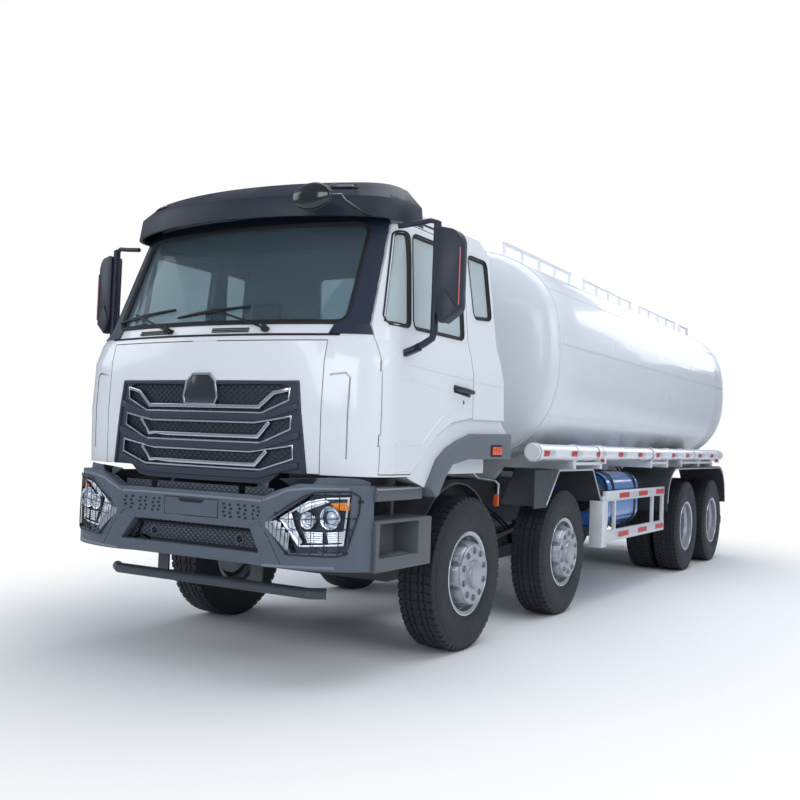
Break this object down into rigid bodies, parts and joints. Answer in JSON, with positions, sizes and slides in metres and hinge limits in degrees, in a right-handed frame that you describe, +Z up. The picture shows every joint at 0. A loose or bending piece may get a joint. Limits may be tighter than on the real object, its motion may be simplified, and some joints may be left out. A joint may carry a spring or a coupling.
{
  "type": "four-axle tanker truck",
  "caption": "Tanker truck with a tilting cab, opening doors, steered twin front axles, a driven rear bogie and a round-sided liquid tank.",
  "frame": {"origin": "on the ground under the middle of the truck's length and width", "axes": "-Y towards the nose, +X to the vehicle's left, +Z up"},
  "size_m": [3.11, 9.7, 3.28],
  "materials": {
    "white_paint": "gloss",
    "chassis_paint": "satin",
    "grey_plastic": "grained",
    "flare_plastic": "grained",
    "visor_plastic": "gloss",
    "grille_plastic": "satin",
    "trim_black": "satin",
    "chrome_trim": "polished",
    "window_glass": "clear",
    "lamp_glass": "clear",
    "red_lens": "gloss",
    "wheel_paint": "satin",
    "tyre_rubber": "matte",
    "fender_plastic": "satin",
    "blue_wrap": "gloss",
    "seat_fabric": "woven",
    "steel": "satin",
    "engine_metal": "cast"
  },
  "bodies": {
    "chassis": {"chassis_frame": "chassis_paint", "outriggers": "white_paint", "front_axles": "engine_metal", "rear_axles": "engine_metal", "leaf_springs": "chassis_paint", "engine_block": "engine_metal", "bumper": "grey_plastic", "headlamps": "lamp_glass", "underrun_bar": "chassis_paint", "cab_steps": "grey_plastic", "fuel_tank": "blue_wrap", "battery_and_air_tanks": "trim_black", "side_guards": "white_paint", "fenders": "fender_plastic", "tank_shell": "white_paint", "side_tubes": "white_paint", "top_rails": "steel", "rear_ladder": "steel", "rear_bumper": "chassis_paint", "rear_lamps": "red_lens", "discharge_pipe": "steel"},
    "cab": {"cab_shell": "white_paint", "cab_glass": "window_glass", "sun_visor": "visor_plastic", "wheel_arch_flares": "flare_plastic", "dashboard": "trim_black", "seats": "seat_fabric", "front_mirror": "trim_black"},
    "front_panel": {"front_panel": "white_paint", "grille": "grille_plastic", "grille_trim": "chrome_trim"},
    "door_left": {"door_left": "white_paint", "door_glass_left": "window_glass", "mirror_left": "trim_black"},
    "door_right": {"door_right": "white_paint", "door_glass_right": "window_glass", "mirror_right": "trim_black"},
    "lid_1": {"manhole_lid_1": "steel"},
    "knuckle_1_left": {"knuckle_1_left": "engine_metal"},
    "knuckle_1_right": {"knuckle_1_right": "engine_metal"},
    "lid_2": {"manhole_lid_2": "steel"},
    "knuckle_2_left": {"knuckle_2_left": "engine_metal"},
    "knuckle_2_right": {"knuckle_2_right": "engine_metal"},
    "wheel_1_left": {"rim_1_left": "wheel_paint", "tyre_1_left": "tyre_rubber"},
    "wheel_1_right": {"rim_1_right": "wheel_paint", "tyre_1_right": "tyre_rubber"},
    "wheel_2_left": {"rim_2_left": "wheel_paint", "tyre_2_left": "tyre_rubber"},
    "wheel_2_right": {"rim_2_right": "wheel_paint", "tyre_2_right": "tyre_rubber"},
    "wheel_3_left": {"rim_3_left": "wheel_paint", "tyre_3_left": "tyre_rubber"},
    "wheel_3_right": {"rim_3_right": "wheel_paint", "tyre_3_right": "tyre_rubber"},
    "wheel_4_left": {"rim_4_left": "wheel_paint", "tyre_4_left": "tyre_rubber"},
    "wheel_4_right": {"rim_4_right": "wheel_paint", "tyre_4_right": "tyre_rubber"}
  },
  "joints": [
    {"name": "cab_tilt", "type": "hinge", "parent": "chassis", "child": "cab", "pos_m": [0, -4.67, 0.94], "axis": [1, 0, 0], "range_deg": [0, 50]},
    {"name": "front_panel_lift", "type": "hinge", "parent": "cab", "child": "front_panel", "pos_m": [0, -4.762, 2.055], "axis": [-1, 0, 0], "range_deg": [0, 75]},
    {"name": "door_left_swing", "type": "hinge", "parent": "cab", "child": "door_left", "pos_m": [1.205, -4.547, 1.6], "axis": [0, 0, -1], "range_deg": [0, 70]},
    {"name": "door_right_swing", "type": "hinge", "parent": "cab", "child": "door_right", "pos_m": [-1.205, -4.547, 1.6], "axis": [0, 0, 1], "range_deg": [0, 70]},
    {"name": "lid_1_open", "type": "hinge", "parent": "chassis", "child": "lid_1", "pos_m": [-0.285, -0.72, 3.25], "axis": [0, -1, 0], "range_deg": [0, 100]},
    {"name": "lid_2_open", "type": "hinge", "parent": "chassis", "child": "lid_2", "pos_m": [-0.285, 3.44, 3.25], "axis": [0, -1, 0], "range_deg": [0, 100]},
    {"name": "steer_1_left", "type": "hinge", "parent": "chassis", "child": "knuckle_1_left", "pos_m": [0.875, -3.21, 0.542], "axis": [0, 0, 1], "range_deg": [-36, 36]},
    {"name": "steer_1_right", "type": "hinge", "parent": "chassis", "child": "knuckle_1_right", "pos_m": [-0.875, -3.21, 0.542], "axis": [0, 0, 1], "range_deg": [-36, 36]},
    {"name": "steer_2_left", "type": "hinge", "parent": "chassis", "child": "knuckle_2_left", "pos_m": [0.875, -1.33, 0.542], "axis": [0, 0, 1], "range_deg": [-25.92, 25.92]},
    {"name": "steer_2_right", "type": "hinge", "parent": "chassis", "child": "knuckle_2_right", "pos_m": [-0.875, -1.33, 0.542], "axis": [0, 0, 1], "range_deg": [-25.92, 25.92]},
    {"name": "wheel_1_left_spin", "type": "hinge", "parent": "knuckle_1_left", "child": "wheel_1_left", "pos_m": [1.028, -3.21, 0.542], "axis": [1, 0, 0], "continuous": true},
    {"name": "wheel_1_right_spin", "type": "hinge", "parent": "knuckle_1_right", "child": "wheel_1_right", "pos_m": [-1.028, -3.21, 0.542], "axis": [1, 0, 0], "continuous": true},
    {"name": "wheel_2_left_spin", "type": "hinge", "parent": "knuckle_2_left", "child": "wheel_2_left", "pos_m": [1.028, -1.33, 0.542], "axis": [1, 0, 0], "continuous": true},
    {"name": "wheel_2_right_spin", "type": "hinge", "parent": "knuckle_2_right", "child": "wheel_2_right", "pos_m": [-1.028, -1.33, 0.542], "axis": [1, 0, 0], "continuous": true},
    {"name": "wheel_3_left_spin", "type": "hinge", "parent": "chassis", "child": "wheel_3_left", "pos_m": [0.93, 2.7, 0.542], "axis": [1, 0, 0], "continuous": true},
    {"name": "wheel_3_right_spin", "type": "hinge", "parent": "chassis", "child": "wheel_3_right", "pos_m": [-0.93, 2.7, 0.542], "axis": [1, 0, 0], "continuous": true},
    {"name": "wheel_4_left_spin", "type": "hinge", "parent": "chassis", "child": "wheel_4_left", "pos_m": [0.93, 4.05, 0.542], "axis": [1, 0, 0], "continuous": true},
    {"name": "wheel_4_right_spin", "type": "hinge", "parent": "chassis", "child": "wheel_4_right", "pos_m": [-0.93, 4.05, 0.542], "axis": [1, 0, 0], "continuous": true}
  ],
  "couplings": [
    {"joint": "steer_1_right", "follows": "steer_1_left", "ratio": 1},
    {"joint": "steer_2_left", "follows": "steer_1_left", "ratio": 0.72},
    {"joint": "steer_2_right", "follows": "steer_1_left", "ratio": 0.72}
  ]
}
